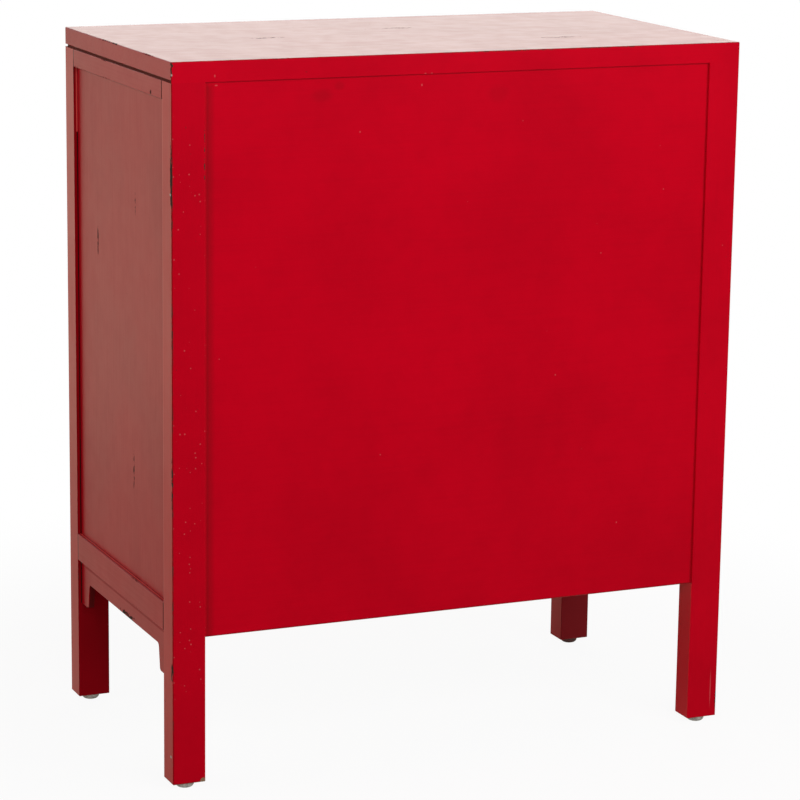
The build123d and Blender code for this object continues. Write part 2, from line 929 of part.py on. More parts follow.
def drawer_side(inner):
    """A drawer side, dovetailed at both ends and grooved for the bottom."""
    x0 = drawer_inner_x if inner else drawer_outer_x - drawer_side_thickness
    back_root = drawer_back_y - drawer_back_thickness
    side = block((x0, x0 + drawer_side_thickness, drawer_box_y, back_root, drawer_low, drawer_side_top))
    for tail in drawer_tails(inner):
        side += tail
    return side - block(grown(drawer_bottom_limits()))


def drawer_front():
    """A drawer front with eased edges, sockets for the sides' dovetails and a hole for the pull."""
    front = block((drawer_inner_x, drawer_outer_x, face_y, drawer_box_y, drawer_low, drawer_top))
    front = chamfer(front.faces().sort_by(Axis.Y)[0].edges(), front_ease)
    for tail in drawer_tails(True) + drawer_tails(False):
        front -= tail
    front -= block(grown(drawer_bottom_limits()))
    return front - pull_hole(drawer_pull_x, drawer_pull_height)


def drawer_back():
    """A drawer back, over the bottom and between the sides' through dovetails."""
    y0 = drawer_back_y - drawer_back_thickness
    low = drawer_bottom_top + fit_gap
    back = block((drawer_inner_x, drawer_outer_x, y0, drawer_back_y, low, drawer_side_top))
    for tail in drawer_tails(True) + drawer_tails(False):
        back -= tail
    return back


def drawer_bottom():
    return block(drawer_bottom_limits())


# The whole cabinet, node by node

def case_nodes():
    """Every piece of the fixed case, by name."""
    return {
        "top_slab": top_slab(),
        "back_panel": back_panel(),
        "back_top_rail": back_top_rail(),
        "back_middle_rail": back_middle_rail(),
        "back_bottom_rail": back_bottom_rail(),
        "front_top_rail": front_top_rail(),
        "front_middle_rail": front_middle_rail(),
        "front_bottom_rail": front_bottom_rail(),
        "front_apron": front_apron(),
        "drawer_divider": drawer_divider(),
        "bottom_board": bottom_board(),
        "shelf": shelf(),
        "shelf_cleats": shelf_cleats(),
        "drawer_runners_and_kickers": drawer_runners_and_kickers(),
        "door_catches": door_catches(),
        "floor_glides": floor_glides(),
        "case_hinge_leaves": hinge_set(lambda level: hinge_leaf(level, True)),
        "hinge_pins": hinge_set(hinge_pin),
    }


def handed_nodes():
    """Every piece that the cabinet has on the right and, mirrored, on the left."""
    return {
        "post_front_{}": post(True),
        "post_back_{}": post(False),
        "side_top_rail_{}": side_top_rail(),
        "side_bottom_rail_{}": side_bottom_rail(),
        "side_panel_{}": side_panel(),
        "side_apron_{}": side_apron(),
        "door_{}_hinge_stile": door_stile(False),
        "door_{}_meeting_stile": door_stile(True),
        "door_{}_top_rail": door_rail(True),
        "door_{}_bottom_rail": door_rail(False),
        "door_{}_panel": door_panel(),
        "door_{}_hinge_leaves": door_hinge_leaves(),
        "door_{}_pull_post": pull_post(door_pull_x, door_pull_height),
        "door_{}_pull_ring": pull_ring(door_pull_x, door_pull_height),
        "drawer_{}_front": drawer_front(),
        "drawer_{}_inner_side": drawer_side(True),
        "drawer_{}_outer_side": drawer_side(False),
        "drawer_{}_back": drawer_back(),
        "drawer_{}_bottom": drawer_bottom(),
        "drawer_{}_pull_post": pull_post(drawer_pull_x, drawer_pull_height),
        "drawer_{}_pull_ring": pull_ring(drawer_pull_x, drawer_pull_height),
    }


os.makedirs("parts", exist_ok=True)
nodes = case_nodes()
for name, piece in handed_nodes().items():
    nodes[name.format("right")] = piece
    nodes[name.format("left")] = left_of(piece)
for name, piece in nodes.items():
    export_step(piece, f"parts/{name}.step")
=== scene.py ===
import bpy
import json
import math
from collections import namedtuple
from mathutils import Matrix, Vector


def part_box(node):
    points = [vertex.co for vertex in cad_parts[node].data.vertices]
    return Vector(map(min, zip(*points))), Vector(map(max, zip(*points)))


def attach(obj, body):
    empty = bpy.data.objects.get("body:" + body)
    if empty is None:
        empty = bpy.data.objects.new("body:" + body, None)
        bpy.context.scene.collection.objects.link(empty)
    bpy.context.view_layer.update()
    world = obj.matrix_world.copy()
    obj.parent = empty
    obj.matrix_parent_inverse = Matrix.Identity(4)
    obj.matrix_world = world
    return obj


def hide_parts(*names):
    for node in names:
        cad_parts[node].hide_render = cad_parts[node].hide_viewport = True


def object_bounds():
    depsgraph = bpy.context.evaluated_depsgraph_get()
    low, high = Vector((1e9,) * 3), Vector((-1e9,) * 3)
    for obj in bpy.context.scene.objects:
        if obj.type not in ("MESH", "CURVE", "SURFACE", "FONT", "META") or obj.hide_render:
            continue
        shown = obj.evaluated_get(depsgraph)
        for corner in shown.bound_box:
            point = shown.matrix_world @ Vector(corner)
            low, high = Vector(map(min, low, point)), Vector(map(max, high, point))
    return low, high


# The dressed entryway cabinet: red lacquer rubbed dark along its edges, bare wood inside,
# aged brass pulls and hinges, and steel glides under the legs.
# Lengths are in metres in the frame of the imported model: the front faces -Y and +Z is up.

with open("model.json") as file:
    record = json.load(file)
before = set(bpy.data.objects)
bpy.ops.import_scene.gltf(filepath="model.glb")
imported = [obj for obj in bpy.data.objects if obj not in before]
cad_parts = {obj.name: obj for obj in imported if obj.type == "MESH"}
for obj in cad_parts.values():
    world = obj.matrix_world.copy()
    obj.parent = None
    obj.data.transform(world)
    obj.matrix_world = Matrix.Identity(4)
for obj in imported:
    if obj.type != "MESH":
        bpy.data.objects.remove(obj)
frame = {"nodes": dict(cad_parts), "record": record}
cad_low, cad_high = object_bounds()

millimetre = 0.001

# The sockets of a Mix node that blend colours: the share, the two colours and the result
mix_inputs = (0, 6, 7)
mix_result = 2

# Camera, fitted to the corners of the cabinet in the photograph
camera_spot = Vector((1.6104, 3.7153, 1.3357))
camera_target = Vector((0.0, 0.0251, 0.4278))
camera_roll = math.radians(0.78)
camera_lens = 141.98
camera_sensor = 36.0

# Lamps: the key behind the camera, the rim beyond the cabinet and the fill beside its right-hand side
key_way = Vector((-0.12, 0.84, 0.38))
key_distance = 2.1
key_width = 2.2
key_height = 1.1
key_power = 26.0
rim_spot = Vector((-0.95, -3.0, 1.75))
rim_width = 3.2
rim_height = 1.3
rim_power = 25.4
rim_colour = (1.0, 0.94, 0.89)
fill_spot = Vector((2.3, 0.2, 2.0))
fill_width = 1.2
fill_height = 0.8
fill_power = 5.5

# Surround and floor
level_fill = 0.42
zenith_fill = 0.12
mirrored_floor = (1.0, 0.955, 0.74)
mirrored_wall = (0.91, 0.925, 0.87)
floor_side = 24.0
floor_bounce = (0.42, 0.40, 0.36)
floor_seen = 0.98
floor_glow = 0.93
seen_near = 0.5
seen_far = 1.2
mirrored_near = 1.0
mirrored_far = 2.6
mirrored_least = 0.54
under_near = 0.28
under_far = 0.50
under_least = 0.2

# Lacquer colours
lacquer_red = (0.62, 0.0005, 0.0125)
lacquer_deep = (0.42, 0.0005, 0.0085)
lacquer_tint = (1.0, 0.05, 0.12, 1.0)
# Painted shade on the top face
top_painted_shade = (0.18, 0.002, 0.004)
faded_red = (0.88, 0.03, 0.03)
faded_pale = (0.92, 0.085, 0.08)
# Painted sheen on a post's side face
painted_sheen_pale = (1.0, 0.26, 0.24)
# Painted highlight along the arris of a back post
arris_painted_highlight = (0.80, 0.14, 0.13)
# Painted highlight in the creases beside the side panels
crease_painted_highlight = (1.0, 0.13, 0.12)
# Painted light on the inner faces of the back legs
inner_leg_painted_light = (0.95, 0.004, 0.02)
# Glaze, and painted shade and shadow
glaze_and_shade_dark = (0.055, 0.006, 0.005)
# Dark joints, and painted shade in creases, under rails and on apron edges
dark_joint_and_shade = (0.030, 0.013, 0.010)
# Painted shade in the grooves under the slab
groove_painted_shade = (0.26, 0.080, 0.062)
# Painted shade on the back face of a front leg under the case
under_case_painted_shade = (0.060, 0.038, 0.038)
chip_dark = (0.038, 0.034, 0.026)
chip_wood = (0.30, 0.19, 0.11)
speck_pale = (0.74, 0.15, 0.16)
glint_pale = (0.62, 0.60, 0.56)

# Wood, brass and steel colours
wood_pale = (0.47, 0.31, 0.17)
wood_dark = (0.27, 0.15, 0.07)
brass_bright = (0.60, 0.41, 0.17)
brass_dull = (0.13, 0.085, 0.04)
steel_bright = (0.66, 0.65, 0.64)
steel_dull = (0.42, 0.41, 0.40)
# Painted shade on one glide
glide_shade_red = (0.09, 0.016, 0.016)

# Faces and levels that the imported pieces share
case_low, case_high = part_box("post_front_right")[0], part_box("post_back_right")[1]
half_width = case_high.x
back_y = case_high.y
slab_low = case_high.z
inner_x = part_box("post_back_right")[0].x
post_back_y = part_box("post_back_right")[0].y
post_front_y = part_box("post_front_right")[1].y
panel_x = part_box("side_panel_right")[1].x
apron_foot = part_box("side_apron_right")[0].z
bottom_rail_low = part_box("side_bottom_rail_right")[0].z
bottom_rail_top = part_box("side_bottom_rail_right")[1].z
back_panel_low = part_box("back_panel")[0].z
back_panel_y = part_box("back_panel")[1].y
top_rail_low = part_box("side_top_rail_right")[0].z
slab_top = cad_high.z

grain_axes = {"X": 0, "Y": 1, "Z": 2}


class Graph:
    """A short way to lay out the nodes of one material or of the world."""

    def __init__(self, owner):
        owner.use_nodes = True
        self.owner = owner
        self.tree = owner.node_tree
        self.tree.nodes.clear()
        place = self.put("ShaderNodeTexCoord")
        self.spot = place.outputs["Object"]
        self.way = place.outputs["Generated"]

    def feed(self, socket, value):
        """Links a socket to another one, or gives it a constant."""
        if isinstance(value, bpy.types.NodeSocket):
            self.tree.links.new(value, socket)
        else:
            socket.default_value = value

    def put(self, kind, sockets=None, **settings):
        """A new node with its settings and with what goes into its sockets."""
        node = self.tree.nodes.new(kind)
        for name, value in settings.items():
            setattr(node, name, value)
        for name, value in (sockets or {}).items():
            self.feed(node.inputs[name], value)
        return node

    def math(self, operation, *values):
        node = self.put("ShaderNodeMath", operation=operation)
        for socket, value in zip(node.inputs, values):
            self.feed(socket, value)
        return node.outputs[0]

    def vector(self, operation, first, second):
        node = self.put("ShaderNodeVectorMath", operation=operation)
        self.feed(node.inputs[0], first)
        self.feed(node.inputs[1], second)
        return node.outputs["Value" if operation in ("LENGTH", "DISTANCE") else "Vector"]

    def parts(self, value):
        """The X, Y and Z of a vector."""
        return self.put("ShaderNodeSeparateXYZ", {0: value}).outputs

    def noise(self, scales, shift=(0.0, 0.0, 0.0), detail=3.0, roughness=0.55):
        """A pattern with so many waves per metre along each axis."""
        place = self.vector("MULTIPLY", self.vector("ADD", self.spot, shift), scales)
        sockets = {"Vector": place, "Scale": 1.0, "Detail": detail, "Roughness": roughness}
        return self.put("ShaderNodeTexNoise", sockets).outputs["Fac"]

    def step(self, value, start, end, low=0.0, high=1.0):
        """A soft step from low to high as the value goes from start to end."""
        sockets = {"Value": value, "From Min": start, "From Max": end, "To Min": low, "To Max": high}
        node = self.put("ShaderNodeMapRange", sockets, interpolation_type="SMOOTHSTEP")
        return node.outputs["Result"]

    def blend(self, share, first, second):
        """The first colour where the share is 0 and the second where it is 1."""
        node = self.put("ShaderNodeMix", data_type="RGBA")
        for index, value in zip(mix_inputs, (share, first, second)):
            if isinstance(value, tuple):
                value = (*value, 1.0)
            self.feed(node.inputs[index], value)
        return node.outputs[mix_result]

    def strongest(self, values):
        """The greatest of several values."""
        greatest = values[0]
        for value in values[1:]:
            greatest = self.math("MAXIMUM", greatest, value)
        return greatest

    def bump(self, height, strength, depth):
        sockets = {"Height": height, "Strength": strength, "Distance": depth}
        return self.put("ShaderNodeBump", sockets).outputs["Normal"]

    def background_rays(self):
        """Whether a camera ray looks, and whether a mirrored or a let-through ray does."""
        path = self.put("ShaderNodeLightPath").outputs
        mirrored = self.math("MAXIMUM", path["Is Glossy Ray"], path["Is Transmission Ray"])
        return path["Is Camera Ray"], mirrored

    def finish(self, colour, roughness, normal, **constants):
        """Ends the material with its surface, whose other sockets get the constants."""
        sockets = {"Base Color": colour, "Roughness": roughness, "Normal": normal}
        sockets.update({name.replace("_", " "): value for name, value in constants.items()})
        shader = self.put("ShaderNodeBsdfPrincipled", sockets)
        output = self.put("ShaderNodeOutputMaterial")
        self.tree.links.new(shader.outputs["BSDF"], output.inputs["Surface"])
        return self.owner


def material_graph(name):
    return Graph(bpy.data.materials.new(name))


# Places on one board

def edge_distance(graph, low, high):
    """How far a place on a board's surface lies from the board's nearest edge."""
    below = graph.parts(graph.vector("SUBTRACT", graph.spot, tuple(low)))
    above = graph.parts(graph.vector("SUBTRACT", tuple(high), graph.spot))
    gaps = [graph.math("MINIMUM", below[i], above[i]) for i in range(3)]
    pairs = [graph.math("MAXIMUM", gaps[i], gaps[i - 1]) for i in range(3)]
    return graph.math("MINIMUM", graph.math("MINIMUM", pairs[0], pairs[1]), pairs[2])


def inside(graph, low, high, soft):
    """0 outside a box, rising to 1 inside it over a soft border of one width, or of one for each axis."""
    below = graph.vector("SUBTRACT", graph.spot, tuple(low))
    above = graph.vector("SUBTRACT", tuple(high), graph.spot)
    borders = soft if isinstance(soft, tuple) else (soft,) * 3
    shares = graph.parts(graph.vector("DIVIDE", graph.vector("MINIMUM", below, above), borders))
    least = graph.math("MINIMUM", graph.math("MINIMUM", shares[0], shares[1]), shares[2])
    return graph.step(least, 0.0, 1.0)


def along_grain(axis, across_scale, along_scale):
    """Scales of a pattern that is stretched along the grain."""
    scales = [across_scale] * 3
    scales[grain_axes[axis]] = along_scale
    return tuple(scales)


def patch(graph, centre, reach):
    """A soft patch, 1 in its core and 0 outside its reach along each axis."""
    away = graph.vector("SUBTRACT", graph.spot, tuple(centre))
    share = graph.vector("DIVIDE", away, tuple(reach))
    return graph.step(graph.vector("LENGTH", share, share), 1.0, patch_core)


# Wear that the photograph shows, and painted glints, as patches on single boards: centre, reach and,
# where patches of a kind differ in it, strength

patch_core = 0.35
patch_depth = 0.02
panel_streaks = [
    ((panel_x, -0.0835, 0.643), (patch_depth, 0.0040, 0.030), 0.85),
    ((panel_x, 0.0645, 0.711), (patch_depth, 0.0035, 0.024), 0.70),
    ((panel_x, 0.0550, 0.372), (patch_depth, 0.0040, 0.042), 0.75),
]
apron_nicks = [((panel_x, 0.026, 0.174), (patch_depth, 0.052, 0.009), 0.85)]
top_wear = [
    ((0.178, 0.001, slab_top), (0.036, 0.008, patch_depth), 0.75),
    ((-0.027, -0.063, slab_top), (0.036, 0.007, patch_depth), 0.70),
    ((-0.186, 0.096, slab_top), (0.044, 0.009, patch_depth), 0.75),
    ((half_width, -0.002, slab_top), (0.0035, 0.030, 0.0025), 0.90),
    ((half_width, back_y, 0.9025), (0.0050, 0.0050, 0.0065), 0.90),
    ((half_width, back_y - 0.001, 0.891), (0.0018, 0.0032, 0.0110), 0.95),
]
corner_chips = [
    ((half_width, back_y - 0.002, 0.766), (0.0020, 0.0050, 0.060), 1.15),
    ((half_width, back_y - 0.001, 0.397), (0.0020, 0.0035, 0.066), 0.80),
    ((half_width, back_y - 0.002, 0.153), (0.0022, 0.0055, 0.018), 1.0),
    ((inner_x + 0.0005, back_y, 0.790), (0.0014, 0.0040, 0.050), 0.75),
    ((inner_x + 0.0005, back_y, 0.690), (0.0012, 0.0040, 0.030), 0.65),
]
leg_streak = ((-0.3722, back_y, 0.047), (0.0011, 0.0040, 0.032))
leg_wear = ((-half_width, back_y, 0.028), (0.0028, 0.0040, 0.030), 1.0)
rail_nick = ((half_width, 0.139, top_rail_low + 0.0045), (patch_depth, 0.0045, 0.0060), 0.85)
slab_flecks = [
    ((0.0545, back_y, slab_low + 0.0003), (0.0018, 0.0040, 0.0012)),
    ((0.0460, back_y, slab_low + 0.0003), (0.0016, 0.0040, 0.0012)),
    ((0.327, back_y, slab_low + 0.0070), (0.0013, 0.0040, 0.0022)),
]
panel_flecks = [
    ((0.324, back_panel_y, slab_low - 0.0048), (0.0026, 0.0040, 0.0013)),
    ((0.0575, back_panel_y, slab_low - 0.0140), (0.0014, 0.0040, 0.0022)),
    ((0.1385, back_panel_y, 0.811), (0.0014, 0.0040, 0.0016)),
]
panel_smudges = [
    ((0.189, back_panel_y, 0.857), (0.019, 0.02, 0.011), 0.13),
    ((0.166, back_panel_y, 0.868), (0.009, 0.02, 0.007), 0.14),
    ((-0.046, back_panel_y, 0.851), (0.020, 0.02, 0.014), 0.09),
]
# Painted glints: small pale highlights at the corner and foot of the near post and at the slab's corner
corner_glint = ((half_width, 0.2098, 0.746), (0.002, 0.003, 0.0022))
leg_glint = ((half_width, 0.2065, 0.0434), (0.002, 0.0035, 0.0025))
slab_glint = ((half_width, back_y, 0.8885), (0.0020, 0.0022, 0.0018))
leg_corner_chip = ((inner_x + 0.003, back_y, 0.010), (0.006, 0.012, 0.006))

# Lines and shades on single boards: dark joints, painted shade in grooves, creases, recesses and shaded
# faces, painted highlights along arrises and creases, a painted sheen, faded faces, and painted shade on
# the apron's edges

Mark = namedtuple("Mark", "low high tone share soft")
crisp = 0.3 * millimetre
skin = 0.5 * millimetre
beyond = 1.0
groove_wall_x = half_width - 5.0 * millimetre
groove_end = back_y - 1.0 * millimetre
groove_low = slab_low - 1.0 * millimetre
groove_high = slab_low + 3.2 * millimetre
panel_crevice_width = 1.4 * millimetre
panel_crevice_lip = 0.4 * millimetre
panel_crevice_top = 0.772
joint_width = 2.4 * millimetre
arris_width = 2.8 * millimetre
corner_shade_band = 9.0 * millimetre
crease_width = 2.2 * millimetre
sheen_low_z = 0.56
sheen_high_z = 0.92
sheen_border = 0.16
apron_shade_line = 7.5 * millimetre
board_edge = 0.8 * millimetre
# Painted shadow on the back panel beside the right-hand post and under the slab
post_shadow_start = inner_x + 2.5 * millimetre
post_shadow_width = 17.5 * millimetre
post_shadow_core_start = inner_x - 0.8 * millimetre
post_shadow_core_width = 6.0 * millimetre
slab_shadow_line = 2.4 * millimetre


def mark(low, high, tone, share=1.0, soft=crisp):
    """A box in which a tone covers its share of the board's colour, with a soft border."""
    return Mark(low, high, tone, share, soft)


def mirrored(one):
    """The same mark on the left-hand side."""
    return one._replace(low=(-one.high[0], *one.low[1:]), high=(-one.low[0], *one.high[1:]))


def post_marks(node):
    """Marks on a post, where it stands on the right-hand side."""
    face_x = half_width - skin
    # Painted shade in the groove under the slab
    marks = [mark((groove_wall_x, -beyond, slab_low - skin), (beyond, groove_end, beyond), groove_painted_shade)]
    if node.startswith("post_back"):
        corner_y = back_y - corner_shade_band
        face = (face_x, -beyond, -beyond), (beyond, back_y - skin, slab_low)
        corner = (face_x, corner_y, -beyond), (beyond, beyond, slab_low)
        arris_high_y = post_back_y + arris_width
        arris = (face_x, post_back_y - skin, bottom_rail_low), (beyond, arris_high_y, slab_low)
        inner_face = (-beyond,) * 3, (inner_x + skin, beyond, back_panel_low)
        marks += [
            mark(*face, faded_red, 0.75, 2 * skin),
            # Painted shade: the side face darkens towards its back corner
            mark(*corner, glaze_and_shade_dark, 0.24, corner_shade_band),
            # Painted highlight along the inner arris of the side face
            mark(*arris, arris_painted_highlight, 0.5, skin),
            # Painted light: the inner faces of the legs below the back panel are a lighter red
            mark(*inner_face, inner_leg_painted_light, 0.8),
        ]
        if node == "post_back_right":
            marks.append(mark((-beyond, back_y - skin, -beyond), (beyond,) * 3, lacquer_deep, 0.18))
    else:
        low_y = post_front_y - panel_crevice_lip
        high_y = post_front_y + panel_crevice_lip
        face = (face_x, -beyond, -beyond), (beyond, post_front_y - skin, slab_low)
        inner_face = (-beyond, low_y, -beyond), (beyond, beyond, slab_low)
        crevice_high = (panel_x + panel_crevice_width, high_y, panel_crevice_top)
        crevice = (panel_x - panel_crevice_lip, low_y, apron_foot), crevice_high
        crease = (panel_x, low_y, panel_crevice_top), (panel_x + crease_width, high_y, top_rail_low)
        marks += [
            mark(*face, faded_pale, 0.7, 2 * skin),
            # Painted shade on the inner face of the front post
            mark(*inner_face, glaze_and_shade_dark, 0.30),
            # Painted shade: a dark line in the crease where the side panel meets the post
            mark(*crevice, dark_joint_and_shade),
            # Painted highlight in the crease beside the side panel, above the dark line
            mark(*crease, crease_painted_highlight, 0.95),
        ]
        if node == "post_front_left":
            # Painted shade: the back face of this leg, under the case, is darker and browner
            leg_face = (-beyond, low_y, -beyond), (beyond, beyond, bottom_rail_low)
            marks.append(mark(*leg_face, under_case_painted_shade, 0.40))
        if node == "post_front_right":
            # Painted sheen: a pale band painted high on the side face of this post
            sheen = (face_x, -beyond, sheen_low_z), (beyond, post_front_y - skin, sheen_high_z)
            marks.append(mark(*sheen, painted_sheen_pale, 0.65, (2 * skin, 2 * skin, sheen_border)))
    return marks


def rail_marks(node):
    """Marks on a side rail, where it is on the right-hand side."""
    face_x = half_width - skin
    back_joint = (face_x, post_back_y - joint_width, -beyond), (beyond,) * 3
    front_joint = (face_x, -beyond, -beyond), (beyond, post_front_y + joint_width, beyond)
    marks = [mark(*back_joint, dark_joint_and_shade, 0.85), mark(*front_joint, glaze_and_shade_dark, 0.7)]
    if node.startswith("side_top_rail"):
        # Painted shade in the groove under the slab
        marks.append(mark((groove_wall_x, -beyond, slab_low - skin), (beyond,) * 3, groove_painted_shade))
    else:
        ledge_low = (panel_x, -beyond, bottom_rail_top - skin)
        marks += [
            # Painted shade on the ledge of the bottom rail
            mark(ledge_low, (half_width - board_edge, beyond, beyond), glaze_and_shade_dark, 0.35),
            # Painted highlight in the crease at the foot of the side panel
            mark(ledge_low, (panel_x + crease_width, beyond, beyond), crease_painted_highlight, 0.8),
        ]
    return marks


def marks_of(node):
    """The lines and shades on one board, mirrored for a left-hand one."""
    if node == "top_slab":
        # Painted shade in the groove under the slab
        groove_box = (groove_wall_x, -beyond, groove_low), (beyond, groove_end, groove_high)
        groove = mark(*groove_box, groove_painted_shade)
        # Painted shade: the top face is darkened
        top = mark((-beyond, -beyond, slab_top - skin), (beyond,) * 3, top_painted_shade, 0.75)
        return [top, groove, mirrored(groove)]
    if node == "back_panel":
        # Painted shadow: a soft dark band and a darker core beside the right-hand post, and a dark line
        # under the slab
        band = (post_shadow_start - post_shadow_width, -beyond, -beyond), (post_shadow_start, beyond, slab_low)
        core = (post_shadow_core_start - post_shadow_core_width, -beyond, -beyond), (post_shadow_core_start, beyond, slab_low)
        under_slab = (-inner_x, -beyond, slab_low - slab_shadow_line), (inner_x, beyond, beyond)
        return [
            mark(*band, glaze_and_shade_dark, 0.28, post_shadow_width / 2),
            mark(*core, glaze_and_shade_dark, 0.24, post_shadow_core_width / 2),
            mark(*under_slab, glaze_and_shade_dark, 0.30, skin),
        ]
    marks = []
    if node.startswith("post_"):
        marks = post_marks(node)
    if node.startswith(("side_top_rail", "side_bottom_rail")):
        marks = rail_marks(node)
    if node.startswith("side_apron"):
        # Painted shade under the rail and on the apron's edges
        under_rail = (panel_x - skin, -beyond, bottom_rail_low - apron_shade_line), (beyond,) * 3
        edges = (-beyond,) * 3, (panel_x - board_edge, beyond, beyond)
        marks = [mark(*under_rail, dark_joint_and_shade, 0.8, 3 * skin), mark(*edges, dark_joint_and_shade, 0.75)]
    if node.startswith("side_panel"):
        # Painted shade in the crease beside the front post
        low = (panel_x - panel_crevice_lip, -beyond, bottom_rail_low)
        high_y = post_front_y + panel_crevice_lip
        high = (panel_x + panel_crevice_lip, high_y, panel_crevice_top)
        marks = [mark(low, high, dark_joint_and_shade)]
    if node.endswith("_left"):
        return [mirrored(one) for one in marks]
    return marks


def cover_with(graph, one, colour):
    """How much a mark covers of each place, and the colour with the mark on it."""
    cover = graph.math("MULTIPLY", inside(graph, one.low, one.high, one.soft), one.share)
    return cover, graph.blend(cover, colour, one.tone)


# Patterns of the lacquer. Scales are in waves per metre, and pairs of them go across and along the
# grain. A span is where a pattern starts to show and where it shows in full.

cloud_scales = (5.0, 5.0, 5.0)
cloud_span = (0.35, 0.68)
cloud_depth = 0.32
mottle_scales = (38.0, 38.0, 38.0)
mottle_span = (0.4, 0.7)
mottle_depth = 0.10
fibre_scales = (420.0, 9.0)
fibre_span = (0.35, 0.75)
fibre_depth = 0.08
fine_scales = (1500.0, 30.0)
ragged_scales = (90.0, 25.0)
ragged_span = (0.3, 0.7)
glaze_narrowest = 0.7
glaze_widest = 1.3
glaze_core = 0.35
flake_scales = (150.0, 150.0, 70.0)
flake_span = (0.46, 0.54)
wear_scales = (17.0, 17.0, 9.0)
wear_start = 0.72
wear_full = 0.86
wear_gain = 0.4
chip_span = (2.4 * millimetre, 0.2 * millimetre)
sliver_scales = (340.0, 130.0)
sliver_span = (0.74, 0.78)
worn_gain = 0.35
bare_span = (1.0, 1.1)
cell_scale = 150.0
crowd_scales = (15.0, 15.0, 8.0)
crowd_shift = (0.3, 0.1, 0.7)
crowd_span = (0.35, 0.55)
crowd_least = 0.7
speck_size = 0.18
speck_border = 0.06
speck_share = 0.40
speck_zone_border = 0.05
fleck_share = 0.42
sheen_span = (0.3, 0.75)
sheen_smoothest = 0.29
sheen_roughest = 0.33
sheen_mottle_span = (0.3, 0.7)
sheen_mottle = 0.03
bare_roughness = 0.65
fine_relief = 0.3
fibre_relief = 0.7
chip_relief = 2.0
lacquer_bump = 0.2
lacquer_bump_depth = 0.04 * millimetre


